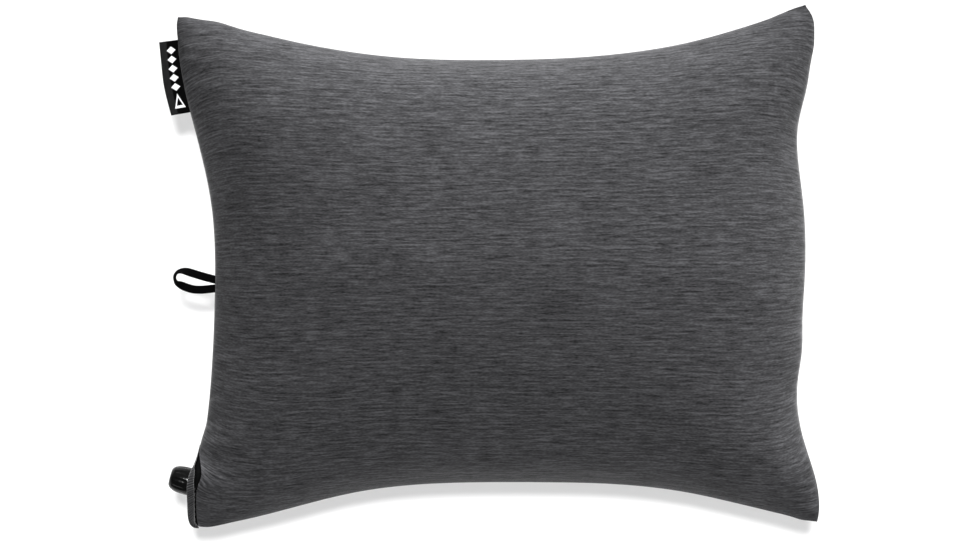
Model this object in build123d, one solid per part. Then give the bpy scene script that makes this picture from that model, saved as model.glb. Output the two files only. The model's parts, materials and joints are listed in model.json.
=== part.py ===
"""Inflatable camp pillow: knit cover, foam topper, welded air bladder and screw-out twist valve.

Millimetres, +Z up. The pillow lies on its back panel at z = 0, with the middle of its box at x = y = 0.
The side seam lies in one level plane halfway up. Every soft skin is nested in the one outside it, by a
smaller outline and a smaller swell.
"""

import os
from math import cos, radians, sin

from build123d import *

# ---- driving dimensions: cover, foam and bladder ------------------------------------------------
SEAM_Z = 50.0  # height of the side seam
CROWN_RISE = 50.0  # crown of the top panel above the seam
BACK_DROP = 54.0  # swell of the back panel under the seam, before the floor flattens it

CLOTH = 1.2  # knit cover
CLOTH_INSET = 1.3  # the same cloth measured level, where it leans at the seam
SEAM_ALLOWANCE = 5.0
THREAD = 0.45  # sewing thread
STITCH_CLEAR = 0.02  # between a stitch and the cloth under it
OVERLOCK = 0.75  # thread wrapped round the cut edges of the seam allowances
OVERLOCK_CLEAR = 0.05
OVERLOCK_PROUD = 0.3  # above the allowances
CORNER_CLEAR = 0.9  # keeps the overlock thread off the panels in the sharp corners
OPENING_LOW = (-230, -168, 0)  # the seam is not sewn in this box, where the valve comes out
OPENING_HIGH = (-183, -125, 100)
FOAM_GAP = 0.5
FOAM = 12.0
FOAM_EDGE = 2.4  # the foam's cut edge above the seam
FILM = 0.8
FILM_GAP = 0.4
BLADDER_INSET = 10.0  # start of the bladder's swell, in from the cover's outline
WELD_RIM = 3.2  # flat weld round the bladder
WELD_LAP = 0.5  # weld rim under the swell's edge
BAFFLE = 1.0
BAFFLE_GAP = 0.2
BAFFLE_Y = 50.0
BAFFLE_HALF_LENGTH = 115.0

EDGE_ANGLE = 80.0  # of a quarter turn: how steeply a panel leaves the seam
FULLNESS = 0.3  # 0 is an ellipse, more is flatter on top
GRID = 26  # points each way on a panel's surface

# ---- outline of the cover seen from above, one smooth run along each side -----------------------
TOP_LEFT = (-205.8, 164.8)
TOP_RIGHT = (208.6, 172.9)
BACK_RIGHT = (216.4, -168.6)
BACK_LEFT = (-193.6, -171.6)
TOP_SIDE = [TOP_LEFT, (-152, 153), (-72, 139), (7, 136.2), (86, 140.3), (160, 154.8), TOP_RIGHT]
BACK_SIDE = [BACK_LEFT, (-170, -168.6), (-92, -149.6), (20, -142.2), (126, -148.2), (194, -163.6), BACK_RIGHT]
LEFT_SIDE = [BACK_LEFT, (-195.3, -156), (-191.8, -136), (-186.3, -101), (-181.3, -20), (-184, 44),
             (-197, 101), TOP_LEFT]
RIGHT_SIDE = [BACK_RIGHT, (217.3, -151), (206, -110), (202.8, -86), (206.6, -30), (207, 44), (203.2, 90),
              (212.5, 145), TOP_RIGHT]

# ---- twist valve, along its own axis, outward from the cover's edge -----------------------------
VALVE_AT = (-200.0, -141.5, SEAM_Z)
VALVE_TILT = 15.0  # degrees from -X towards +Y
STEM_R = 5.5
STEM_BORE_R = 3.6
STEM_IN = -14.7
HEAD_R = 6.0
HEAD_FROM = 0.3
STEM_OUT = 3.0
RING_GROOVE_R = 5.05
STEM_RING_AT = 1.65
STEM_RING_WIRE_R = 0.5
STEM_RING_R = 5.58
BOAT_HALF_WIDTH = 12.0
BOAT_HALF_THICKNESS = 3.6
BOAT_IN = -21.0
BOAT_OUT = -14.2
BOAT_BORE_R = 2.6
BOAT_GAP = 0.05  # to the films
BOAT_TO_FOAM = 0.4
SKIRT_R = 9.15
SKIRT_IN = -4.0
SKIRT_CHAMFER = 0.6
SKIRT_BORE_R = 6.1
CHAMBER_R = 4.6
CHAMBER_FROM = 3.5
LIP_FROM = 8.8
LIP_BORE_R = 3.2
LIP_CHAMFER = 0.3
TIP = 11.3
TIP_R = 4.6
SHOULDER = [(SKIRT_R, 0.5), (8.8, 4.0), (8.0, 7.2), (6.9, 9.6), (5.9, 10.8), (TIP_R, TIP)]  # radius, height
STOP_FROM = -3.6
STOP_TO = -2.8
STOP_GROOVE_R = 6.9
STOP_CLEAR = 0.1
STOP_CLEAR_ENDS = 0.05
STOP_SPLIT = 1.2
PIN_R = 1.3
PIN_HEAD_R = 2.9
PIN_HEAD_FROM = 8.6
PIN_TAPER = 1.6
PIN_TOP = 10.9
PIN_RING_AT = 9.75
PIN_RING_WIRE_R = 0.34
PIN_RING_R = 2.81
PIN_GROOVE_R = 2.44
PIN_GROOVE_HALF = 0.4
STEM_GROOVE_HALF = 0.55
SPIDER_IN = -6.0
SPIDER_OUT = -3.0
SPIDER_R = 3.55  # in the stem's bore
SPIDER_BORE_R = 2.9
SPOKE_LENGTH = 2.2
SPOKE = 0.9
SPOKES = 3

# ---- hem of the valve opening -------------------------------------------------------------------
HEM_AT = (-199.6, -141.5, SEAM_Z)
HEM_TILT = 8.0
HEM_BORE_R = 10.2
HEM = 1.8  # folded cloth
HEM_WIDTH = 5.0
LIP_GAP = 0.1  # each lip above or below the seam plane
HEM_CLEAR = 0.2
STEM_CLEAR = 2.5
HEM_STITCHES = 5
HEM_STITCH = 2.1
HEM_STITCH_PITCH = 2.9
HEM_STITCH_FROM = (-196.6, -156.4)
HEM_TAIL = [(-196.3, -152.8), (-195.4, -160), (-195.3, -168), (-193.8, -172.2), (-195.2, -173),
            (-198.2, -170.5), (-199.9, -164), (-201.2, -152.1)]

# ---- hang loop and label ------------------------------------------------------------------------
LOOP_OUTSIDE = [(-181.9, -5.4), (-191.5, -2.9), (-201, -0.9), (-209, -7), (-204, -15.2), (-192, -18.3),
                (-181.9, -17.4)]
LOOP_INSIDE = [(-184, -11.6), (-193, -7.6), (-202, -4.7), (-206.7, -6.7), (-201, -11.5), (-193, -13.3)]
WEBBING = 1.2
WEBBING_WIDTH = 5.3
LOOP_BEND_X = -202.5  # past this the webbing stands on its edge
LABEL = [(-217.3, 148.4), (-205.8, 149.6), (-204.5, 137.7), (-202.4, 124.2), (-197.7, 101.6), (-209.4, 99.7),
         (-214.6, 124)]
LABEL_THICKNESS = 1.4
LABEL_SLIT = 0.1  # between its two layers
LABEL_FOLD = 1.0  # solid edge outside the slit
LABEL_STITCHES = 14
LABEL_STITCH = 2.4
LABEL_STITCH_FROM = 0.805  # share of the left side, from the back corner
LABEL_STITCH_PITCH = 0.0099
LABEL_STITCH_INSET = 3.4
BARTACK_AT = (-177.4, -6.2)
BARTACK_BARS = 13
BARTACK_BAR = 2.4
BARTACK_PITCH = 0.9


def side_curve(points):
    """One side of the outline as a smooth edge."""
    return Edge.make_spline([Vector(x, y) for x, y in points])


def swell(step):
    """Place from -1 to 1, and share of the full height, for one step of an angle sweep."""
    angle = radians(EDGE_ANGLE) * (2 * step / (GRID - 1) - 1)
    edge = cos(radians(EDGE_ANGLE))
    share = (cos(angle) - edge) / (1 - edge)
    return sin(angle) / sin(radians(EDGE_ANGLE)), (1 + FULLNESS) * share - FULLNESS * share ** 3


STATIONS = [swell(step) for step in range(GRID)]
LEFT_CURVE = side_curve(LEFT_SIDE)
TOP_POINTS = [side_curve(TOP_SIDE) @ ((1 + place) / 2) for place, _ in STATIONS]
BACK_POINTS = [side_curve(BACK_SIDE) @ ((1 + place) / 2) for place, _ in STATIONS]
LEFT_POINTS = [LEFT_CURVE @ ((1 + place) / 2) for place, _ in STATIONS]
RIGHT_POINTS = [side_curve(RIGHT_SIDE) @ ((1 + place) / 2) for place, _ in STATIONS]


def plan_point(i, j, inset):
    """Point of the plan at stations i across and j along, blended between the four sides."""
    across = STATIONS[i][0]
    along = STATIONS[j][0]
    s = (1 + across) / 2
    t = (1 + along) / 2
    sides = BACK_POINTS[i] * (1 - t) + TOP_POINTS[i] * t + LEFT_POINTS[j] * (1 - s) + RIGHT_POINTS[j] * s
    corners = Vector(*BACK_LEFT) * ((1 - s) * (1 - t)) + Vector(*BACK_RIGHT) * (s * (1 - t))
    corners += Vector(*TOP_LEFT) * ((1 - s) * t) + Vector(*TOP_RIGHT) * (s * t)
    return sides - corners - Vector(across, along) * inset


def swollen_skin(inset, height):
    """Face that swells from the seam plane, up, or down if height is negative."""
    rows = []
    for i in range(GRID):
        row = []
        for j in range(GRID):
            place = plan_point(i, j, inset)
            row.append(Vector(place.X, place.Y, SEAM_Z + height * STATIONS[i][1] * STATIONS[j][1]))
        rows.append(row)
    return Face.make_surface_from_array_of_points(rows, tol=0.02, min_deg=3, max_deg=3)


def dome(inset, height):
    """Closed solid between the seam plane and a swollen skin."""
    skin = swollen_skin(inset, height)
    return Solid(Shell([skin, Face(Wire(skin.outer_wire().edges()))]))


def slab(inset, height):
    """Flat plate of the inset outline, from the seam plane up, or down if height is negative."""
    skin = swollen_skin(inset, CROWN_RISE)
    return extrude(Face(Wire(skin.outer_wire().edges())), amount=height, dir=(0, 0, 1))


def ring(outer_inset, inner_inset, height):
    """Flat ring between two inset outlines, on the seam plane."""
    return slab(outer_inset, height) - slab(inner_inset, height)


def block(low, high):
    """Box between two corners."""
    size = [b - a for a, b in zip(low, high)]
    return Pos(*low) * Box(*size, align=(Align.MIN, Align.MIN, Align.MIN))


def above(z):
    """Everything from a level upwards."""
    return block((-300, -300, z), (300, 300, 200))


def axis_plane(origin, tilt):
    """Plane whose Z leaves the cover to the left, tilted towards +Y."""
    return Plane(origin=origin, x_dir=(0, 0, 1), z_dir=(-cos(radians(tilt)), sin(radians(tilt)), 0))


VALVE = axis_plane(VALVE_AT, VALVE_TILT)
HEM_AXIS = axis_plane(HEM_AT, HEM_TILT)


def turned(plane, points):
    """Solid turned about a plane's Z from a closed outline of radius and height."""
    outline = Polyline(*[(r, 0, w) for r, w in points], close=True)
    return plane * revolve(make_face(outline), Axis.Z)


def rod(plane, radius, low, high):
    """Plain cylinder on a plane's Z."""
    standing = (Align.CENTER, Align.CENTER, Align.MIN)
    return plane * Pos(0, 0, low) * Cylinder(radius, high - low, align=standing)


# ---- cover --------------------------------------------------------------------------------------
def valve_passage():
    """Space the valve and its hem take out of the cover at the lower left."""
    round_hem = rod(HEM_AXIS, HEM_BORE_R + HEM + HEM_CLEAR, -HEM_WIDTH - 0.3, 20)
    return round_hem + rod(VALVE, STEM_R + STEM_CLEAR, BOAT_OUT - 1.8, 5)


def cover_top_panel():
    """Crowned knit panel with its seam allowance turned in."""
    hollow = dome(CLOTH_INSET, CROWN_RISE - CLOTH) - ring(-1, SEAM_ALLOWANCE, CLOTH)
    return dome(0, CROWN_RISE) - hollow - valve_passage()


def cover_bottom_panel():
    """Knit panel that rests flat on the floor, with its seam allowance turned in."""
    hollow = (dome(CLOTH_INSET, CLOTH - BACK_DROP) & above(CLOTH)) - ring(-1, SEAM_ALLOWANCE, -CLOTH)
    return (dome(0, -BACK_DROP) & above(0)) - hollow - valve_passage()


def seam_thread():
    """Overlock thread round the cut edges of both seam allowances, open where the valve comes out."""
    start = SEAM_ALLOWANCE + OVERLOCK_CLEAR
    height = CLOTH + OVERLOCK_PROUD
    inset = CLOTH_INSET + CORNER_CLEAR
    upper = ring(start, start + OVERLOCK, height) & dome(inset, CROWN_RISE - CLOTH - 1)
    lower = ring(start, start + OVERLOCK, -height) & dome(inset, CLOTH + 1 - BACK_DROP)
    return upper + lower - block(OPENING_LOW, OPENING_HIGH) - valve_passage()


def hem(upward):
    """Folded lip of the valve opening: half round the mouthpiece, then down to the corner."""
    half = block((-260, -220, SEAM_Z + LIP_GAP), (-150, -90, 120))
    band = rod(HEM_AXIS, HEM_BORE_R + HEM, -HEM_WIDTH, 0) - rod(HEM_AXIS, HEM_BORE_R, -HEM_WIDTH - 1, 1)
    tail = Pos(0, 0, SEAM_Z + LIP_GAP) * extrude(make_face(Polyline(*HEM_TAIL, close=True)), HEM)
    lip = (band & half) + tail
    return lip if upward else mirror(lip, Plane.XY.offset(SEAM_Z))


def stitch(place, heading, length):
    """One straight stitch, heading in degrees from +X."""
    return Pos(*place) * Rot(0, 0, heading) * Box(length, THREAD, THREAD)


def hem_stitching():
    """Row of stitches on each lip of the hem."""
    rise = LIP_GAP + HEM + THREAD / 2 + STITCH_CLEAR
    x, y = HEM_STITCH_FROM
    row = []
    for k in range(HEM_STITCHES):
        for side in (1, -1):
            row.append(stitch((x, y - HEM_STITCH_PITCH * k, SEAM_Z + side * rise), 90, HEM_STITCH))
    return Compound(children=row)


def label_stitching():
    """Row of stitches that holds the label's tail in the seam."""
    z = SEAM_Z + CLOTH + THREAD / 2 + STITCH_CLEAR
    row = []
    for k in range(LABEL_STITCHES):
        t = LABEL_STITCH_FROM + LABEL_STITCH_PITCH * k
        place = LEFT_CURVE @ t
        heading = (LEFT_CURVE % t).get_angle(Vector(1, 0, 0))
        row.append(stitch((place.X + LABEL_STITCH_INSET, place.Y, z), heading, LABEL_STITCH))
    return Compound(children=row)


def loop_bartack():
    """Close bars of thread that hold the loop's two ends in the seam."""
    z = SEAM_Z + CLOTH + THREAD / 2 + STITCH_CLEAR
    x, y = BARTACK_AT
    bars = [stitch((x, y - BARTACK_PITCH * k, z), 0, BARTACK_BAR) for k in range(BARTACK_BARS)]
    return Compound(children=bars)


# ---- foam and bladder ---------------------------------------------------------------------------
BLADDER_RISE = CROWN_RISE - CLOTH - FOAM_GAP - FOAM - FILM_GAP
BLADDER_DROP = BACK_DROP - CLOTH - FILM_GAP
BLADDER_FLOOR = CLOTH + FILM_GAP


def foam_topper():
    """Foam layer between the top panel and the bladder."""
    outside = dome(CLOTH_INSET + FOAM_GAP, CROWN_RISE - CLOTH - FOAM_GAP)
    inside = dome(BLADDER_INSET - FILM_GAP, BLADDER_RISE + FILM_GAP)
    valve_notch = valve_boat(BOAT_TO_FOAM) + rod(VALVE, STEM_R + BOAT_TO_FOAM, BOAT_OUT - 1, 0)
    return ((outside - inside) & above(SEAM_Z + FOAM_EDGE)) - valve_notch


def valve_boat(clearance, reach=0):
    """Flat oval flange that the two films are welded to, or the room for it, reaching further out."""
    oval = Ellipse(BOAT_HALF_THICKNESS + clearance, BOAT_HALF_WIDTH + clearance)
    return VALVE * Pos(0, 0, BOAT_IN - clearance) * extrude(oval, BOAT_OUT - BOAT_IN + 2 * clearance + reach)


def bladder_top_film():
    """Upper film with its weld rim."""
    outside = dome(BLADDER_INSET, BLADDER_RISE)
    outside += ring(BLADDER_INSET - WELD_RIM, BLADDER_INSET + WELD_LAP, FILM)
    return outside - dome(BLADDER_INSET + FILM, BLADDER_RISE - FILM) - valve_boat(BOAT_GAP, WELD_RIM)


def bladder_bottom_film():
    """Lower film with its weld rim, flat where it rests on the back panel."""
    outside = dome(BLADDER_INSET, -BLADDER_DROP) & above(BLADDER_FLOOR)
    outside += ring(BLADDER_INSET - WELD_RIM, BLADDER_INSET + WELD_LAP, -FILM)
    inside = dome(BLADDER_INSET + FILM, FILM - BLADDER_DROP) & above(BLADDER_FLOOR + FILM)
    return outside - inside - valve_boat(BOAT_GAP, WELD_RIM)


def baffle(y):
    """Film web from the lower to the upper film, which keeps the bladder flat."""
    inset = BLADDER_INSET + FILM + BAFFLE_GAP
    web = block((-BAFFLE_HALF_LENGTH, y - BAFFLE / 2, 0), (BAFFLE_HALF_LENGTH, y + BAFFLE / 2, 100))
    upper = dome(inset, BLADDER_RISE - FILM - BAFFLE_GAP) & web
    lower = dome(inset, FILM + BAFFLE_GAP - BLADDER_DROP) & web & above(BLADDER_FLOOR + FILM + BAFFLE_GAP)
    return upper + lower


# ---- twist valve --------------------------------------------------------------------------------
def valve_base():
    """Boat flange and stem in one moulding, with the seal groove in the stem's head."""
    low = STEM_RING_AT - STEM_GROOVE_HALF
    high = STEM_RING_AT + STEM_GROOVE_HALF
    stem = turned(VALVE, [(0, STEM_IN), (STEM_R, STEM_IN), (STEM_R, HEAD_FROM), (HEAD_R, HEAD_FROM),
                          (HEAD_R, low), (RING_GROOVE_R, low), (RING_GROOVE_R, high),
                          (HEAD_R, high), (HEAD_R, STEM_OUT), (0, STEM_OUT)])
    body = stem + valve_boat(0)
    return body - rod(VALVE, STEM_BORE_R, STEM_IN + 2, STEM_OUT + 1) - rod(VALVE, BOAT_BORE_R, BOAT_IN - 1, 0)


def valve_pintle():
    """Fixed pin that plugs the mouth, on a three-spoke spider in the stem."""
    low = PIN_RING_AT - PIN_GROOVE_HALF
    high = PIN_RING_AT + PIN_GROOVE_HALF
    pin = turned(VALVE, [(0, SPIDER_IN), (PIN_R, SPIDER_IN), (PIN_R, PIN_HEAD_FROM - PIN_TAPER),
                         (PIN_HEAD_R, PIN_HEAD_FROM), (PIN_HEAD_R, low), (PIN_GROOVE_R, low),
                         (PIN_GROOVE_R, high), (PIN_HEAD_R, high), (PIN_HEAD_R, PIN_TOP), (0, PIN_TOP)])
    depth = SPIDER_OUT - SPIDER_IN
    hoop = rod(VALVE, SPIDER_R, SPIDER_IN, SPIDER_OUT)
    hoop -= rod(VALVE, SPIDER_BORE_R, SPIDER_IN - 1, SPIDER_OUT + 1)
    for turn in range(SPOKES):
        out = PIN_R + 0.9
        spoke = Pos(out, 0, SPIDER_IN + depth / 2) * Box(SPOKE_LENGTH, SPOKE, depth)
        hoop += VALVE * Rot(0, 0, 360 / SPOKES * turn) * spoke
    return pin + hoop


def seal_ring(centre_r, wire_r, at):
    """O-ring on the valve's axis."""
    return VALVE * Pos(0, 0, at) * Torus(centre_r, wire_r)


def mouthpiece():
    """Tapered screw-out mouthpiece with a round shoulder and a narrow mouth."""
    outline = [(SKIRT_BORE_R, SKIRT_IN), (SKIRT_R - SKIRT_CHAMFER, SKIRT_IN)]
    outline += [(SKIRT_R, SKIRT_IN + SKIRT_CHAMFER)]
    outline += SHOULDER + [(LIP_BORE_R + LIP_CHAMFER, TIP), (LIP_BORE_R, TIP - LIP_CHAMFER)]
    outline += [(LIP_BORE_R, LIP_FROM), (CHAMBER_R, LIP_FROM), (CHAMBER_R, CHAMBER_FROM)]
    outline += [(SKIRT_BORE_R, CHAMBER_FROM), (SKIRT_BORE_R, STOP_TO), (STOP_GROOVE_R, STOP_TO)]
    outline += [(STOP_GROOVE_R, STOP_FROM), (SKIRT_BORE_R, STOP_FROM)]
    return turned(VALVE, outline)


def stop_ring():
    """Split ring in the mouthpiece's skirt that meets the stem's head when the valve is open."""
    inner = STEM_R + STOP_CLEAR
    outer = STOP_GROOVE_R - STOP_CLEAR
    hoop = rod(VALVE, outer, STOP_FROM + STOP_CLEAR_ENDS, STOP_TO - STOP_CLEAR_ENDS)
    hoop -= rod(VALVE, inner, STOP_FROM - 1, STOP_TO + 1)
    return hoop - VALVE * Pos(0, outer, 0) * Box(STOP_SPLIT, 4, 20)


# ---- hang loop and label ------------------------------------------------------------------------
def hang_loop():
    """Webbing folded into a loop: flat where it leaves the seam, on its edge round the bend."""
    rim = [Vector(x, y) for x, y in LOOP_OUTSIDE]
    outside = Wire([Edge.make_spline(rim), Edge.make_line(rim[-1], rim[0])])
    inside = Wire(Edge.make_spline([Vector(x, y) for x, y in LOOP_INSIDE], periodic=True))
    plan = Face(outside, [inside])
    flat = Pos(0, 0, SEAM_Z - WEBBING) * extrude(plan, 2 * WEBBING, dir=(0, 0, 1))
    tall = Pos(0, 0, SEAM_Z - WEBBING_WIDTH / 2) * extrude(plan, WEBBING_WIDTH, dir=(0, 0, 1))
    return flat + (tall & block((-230, -40, 0), (LOOP_BEND_X, 20, 100)))


def side_label():
    """Woven label folded double, its fold on the outside."""
    outline = make_face(Polyline(*LABEL, close=True))
    both = Pos(0, 0, SEAM_Z - LABEL_THICKNESS / 2) * extrude(outline, LABEL_THICKNESS, dir=(0, 0, 1))
    between = Pos(LABEL_FOLD, 0, SEAM_Z - LABEL_SLIT / 2) * extrude(outline, LABEL_SLIT, dir=(0, 0, 1))
    return both - between - Pos(0, LABEL_FOLD, 0) * between


# ---- write the parts ----------------------------------------------------------------------------
def main():
    """Build every piece and write it to its own file."""
    os.makedirs("parts", exist_ok=True)
    export_step(cover_top_panel(), "parts/cover_top_panel.step")
    export_step(cover_bottom_panel(), "parts/cover_bottom_panel.step")
    export_step(seam_thread(), "parts/seam_thread.step")
    export_step(hem(True), "parts/opening_hem_upper.step")
    export_step(hem(False), "parts/opening_hem_lower.step")
    export_step(hem_stitching(), "parts/hem_stitching.step")
    export_step(hang_loop(), "parts/hang_loop.step")
    export_step(loop_bartack(), "parts/loop_bartack.step")
    export_step(side_label(), "parts/side_label.step")
    export_step(label_stitching(), "parts/label_stitching.step")
    export_step(foam_topper(), "parts/foam_topper.step")
    export_step(bladder_top_film(), "parts/bladder_top_film.step")
    export_step(bladder_bottom_film(), "parts/bladder_bottom_film.step")
    export_step(baffle(-BAFFLE_Y), "parts/baffle_front.step")
    export_step(baffle(BAFFLE_Y), "parts/baffle_rear.step")
    export_step(valve_base(), "parts/valve_base.step")
    export_step(valve_pintle(), "parts/valve_pintle.step")
    export_step(seal_ring(PIN_RING_R, PIN_RING_WIRE_R, PIN_RING_AT), "parts/pintle_o_ring.step")
    export_step(seal_ring(STEM_RING_R, STEM_RING_WIRE_R, STEM_RING_AT), "parts/stem_o_ring.step")
    export_step(mouthpiece(), "parts/mouthpiece.step")
    export_step(stop_ring(), "parts/stop_ring.step")


main()
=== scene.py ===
"""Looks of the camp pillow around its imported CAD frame: knit cover, hemmed valve opening, tape loop,
woven label and gloss mouthpiece. Metres, in the frame's own axes."""

import json
import math

import bmesh
import bpy
import numpy as np
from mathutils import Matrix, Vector
from mathutils.bvhtree import BVHTree


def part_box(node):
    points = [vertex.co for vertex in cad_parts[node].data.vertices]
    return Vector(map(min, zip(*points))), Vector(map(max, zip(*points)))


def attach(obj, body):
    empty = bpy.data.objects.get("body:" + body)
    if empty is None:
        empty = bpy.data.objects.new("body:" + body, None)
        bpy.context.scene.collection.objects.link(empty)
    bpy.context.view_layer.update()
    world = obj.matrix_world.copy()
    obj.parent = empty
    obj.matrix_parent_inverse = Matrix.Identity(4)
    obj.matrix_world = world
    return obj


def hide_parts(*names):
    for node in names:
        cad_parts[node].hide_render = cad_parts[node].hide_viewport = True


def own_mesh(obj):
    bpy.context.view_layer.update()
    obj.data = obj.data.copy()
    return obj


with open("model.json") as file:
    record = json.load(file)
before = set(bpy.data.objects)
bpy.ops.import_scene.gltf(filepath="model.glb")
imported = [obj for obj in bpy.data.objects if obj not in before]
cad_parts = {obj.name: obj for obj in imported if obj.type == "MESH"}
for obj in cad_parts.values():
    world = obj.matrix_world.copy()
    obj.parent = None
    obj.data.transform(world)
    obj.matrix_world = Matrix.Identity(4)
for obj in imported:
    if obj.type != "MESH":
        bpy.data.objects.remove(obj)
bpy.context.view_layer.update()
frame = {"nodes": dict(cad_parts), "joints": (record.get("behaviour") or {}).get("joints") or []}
NODES = frame["nodes"]
MM = 0.001

# ---- places read from the frame -----------------------------------------------------------------
PANEL_LOW, PANEL_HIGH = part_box("cover_top_panel")
SEAM_Z = PANEL_LOW.z
CROWN_Z = PANEL_HIGH.z
LOOP_LOW, LOOP_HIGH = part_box("hang_loop")
VALVE_JOINT = next(j for j in frame["joints"] if j["name"] == "mouthpiece_twist")
VALVE_AT = Vector(VALVE_JOINT["pos_m"])
VALVE_AXIS = Vector(VALVE_JOINT["axis"]).normalized()
DEFLATED = 0.5  # share of its height that the pillow keeps when deflate is at its limit

# ---- cover --------------------------------------------------------------------------------------
EDGE_ANGLE = math.radians(80)  # how steeply a panel leaves the seam
FULLNESS = 0.3  # 0 is an ellipse, more is flatter on top
BACK_DROP = 54 * MM  # swell of the back panel before the floor flattens it
ACROSS = 96  # cells of the simulated cloth along X
ALONG = 76
CLOTH = 0.9 * MM
PRESSURE = 2.2
SIM_FRAMES = 14
SWELL_CAP = 5 * MM  # most that the simulation may move a point
SLOT_LIFT = 11.2 * MM  # how far the valve parts the lips of its opening
SLOT_HALF = 23 * MM
SLOT_DEPTH = 28 * MM  # how far into the panel the valve lifts the cloth
STREAK_BEND = 0.12  # how much the knit's courses crowd towards the middle of each end
STREAK_REACH = 16 * MM
COURSE_FOLLOW = 0.3  # share by which the courses follow the long edges

# Plan offsets from the valve, mm: the panel's edge at the opening, then down to the corner.
FABRIC_EDGE = ((11.5, 31.6), (9.8, 26.3), (9.0, 22.5), (8.8, 17), (9.4, 13.5), (10.4, 9.2), (11.1, 4.6),
               (10.4, 1.4), (8.9, -1.3), (7.8, -4.6), (7.2, -9), (6.9, -14), (6.8, -20), (7.2, -25.5),
               (7.7, -28.8), (8.0, -30.2))
# Slight fullness of the cover beside its corners: side, place along it and outward amount, mm.
EAR_FULLNESS = ((3, -180, 1.8, 12), (3, 197, 1.0, 8), (1, 162, 2.3, 8), (1, 148, 1.6, 10), (1, 116, 1.2, 15),
                (1, -56, 2.4, 18), (3, -199, 0.9, 9), (0, 158, 0.7, 12), (2, -183, 1.1, 11), (2, 205, 0.9, 6))
CROWN_RIDGE = 3.2 * MM  # the inner baffles leave a soft ridge along the middle of the crown
RIDGE_ROUND = 11 * MM
RIDGE_REACH = 42 * MM


def smoothstep(x, low, high):
    """0 below low, 1 above high, smooth between."""
    t = np.clip((x - low) / (high - low), 0, 1)
    return t * t * (3 - 2 * t)


def seam_corners():
    """The cover's corners at the seam's height: low left, low right, high left and high right in plan."""
    co = np.array([v.co for v in NODES["cover_top_panel"].data.vertices])
    rim = co[np.abs(co[:, 2] - SEAM_Z) < 1e-5]
    return [rim[np.argmax(rim[:, 0] * sx + rim[:, 1] * sy)] for sy in (-1, 1) for sx in (-1, 1)]


def seam_sides(samples=600):
    """The seam line as four functions: x of the left and right side, y of the lower and upper side."""
    mesh = NODES["cover_top_panel"].data
    tree = BVHTree.FromPolygons([v.co for v in mesh.vertices], [p.vertices for p in mesh.polygons])
    low_left, low_right, high_left, high_right = seam_corners()
    z = SEAM_Z + 2e-5
    sides = []
    for start, end, axis, inward in ((low_left, high_left, 1, 1), (low_right, high_right, 1, -1),
                                     (low_left, low_right, 0, 1), (high_left, high_right, 0, -1)):
        at = np.linspace(start[axis], end[axis], samples)
        found = np.linspace(start[1 - axis], end[1 - axis], samples)
        keep = np.zeros(samples, bool)
        keep[[0, -1]] = True
        for k in range(2, samples - 2):
            origin = Vector((at[k], -inward, z)) if axis == 0 else Vector((-inward, at[k], z))
            direction = Vector((0, inward, 0)) if axis == 0 else Vector((inward, 0, 0))
            hit = tree.ray_cast(origin, direction)[0]
            beside_valve = axis == 1 and inward == 1 and abs(at[k] - VALVE_AT.y) < 16 * MM
            if hit is not None and not beside_valve:
                found[k] = hit[1 - axis]
                keep[k] = True
        sides.append((at, np.interp(at, at[keep], found[keep])))
    return sides


def shaped_seam():
    """The seam's corners and sides, with the opening's own edge at the valve and a little fullness."""
    corners = seam_corners()
    sides = seam_sides()
    edge = np.array([(VALVE_AT.x + dx * MM, VALVE_AT.y + dy * MM) for dx, dy in FABRIC_EDGE])[::-1]
    corners[0] = np.array([*edge[0], SEAM_Z])
    at, found = sides[0]
    above = at > edge[-1, 1] + 6 * MM
    sides[0] = (np.concatenate([edge[:, 1], at[above]]), np.concatenate([edge[:, 0], found[above]]))
    at, found = sides[2]
    beyond = at > edge[0, 0] + 4 * MM
    sides[2] = (np.concatenate([edge[:1, 0], at[beyond]]), np.concatenate([edge[:1, 1], found[beyond]]))
    sign = (-1, 1, -1, 1)
    for side, place, amount, spread in EAR_FULLNESS:
        at, found = sides[side]
        bump = amount * MM * np.exp(-((at - place * MM) / (spread * MM)) ** 2)
        hold = smoothstep(np.minimum(at - at[0], at[-1] - at), 0, 5 * MM)
        sides[side] = (at, found + sign[side] * bump * hold)
    return corners, sides


CORNERS, SIDES = shaped_seam()


def side_point(side, t):
    """Point of a side at share t of its run."""
    at, other = SIDES[side]
    along = at[0] + t * (at[-1] - at[0])
    across = np.interp(along, at, other)
    return np.stack([across, along], -1) if side < 2 else np.stack([along, across], -1)


def plan(across, along):
    """Plan points for arrays across and along from -1 to 1, blended between the four sides."""
    s = ((1 + across) / 2)[..., None]
    t = ((1 + along) / 2)[..., None]
    left, right = side_point(0, t[..., 0]), side_point(1, t[..., 0])
    low, high = side_point(2, s[..., 0]), side_point(3, s[..., 0])
    c = [corner[:2] for corner in CORNERS]
    corners = (1 - s) * (1 - t) * c[0] + s * (1 - t) * c[1] + (1 - s) * t * c[2] + s * t * c[3]
    return (1 - t) * low + t * high + (1 - s) * left + s * right - corners


def swell_share(place):
    """Share of full height at a place from -1 to 1 across a panel."""
    angle = np.arcsin(np.clip(place, -1, 1) * math.sin(EDGE_ANGLE))
    share = (np.cos(angle) - math.cos(EDGE_ANGLE)) / (1 - math.cos(EDGE_ANGLE))
    return (1 + FULLNESS) * share - FULLNESS * share ** 3


def stations(cells):
    """Places from -1 to 1, closer together near the seam."""
    angle = np.linspace(-EDGE_ANGLE, EDGE_ANGLE, cells + 1)
    return np.sin(angle) / math.sin(EDGE_ANGLE)


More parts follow.
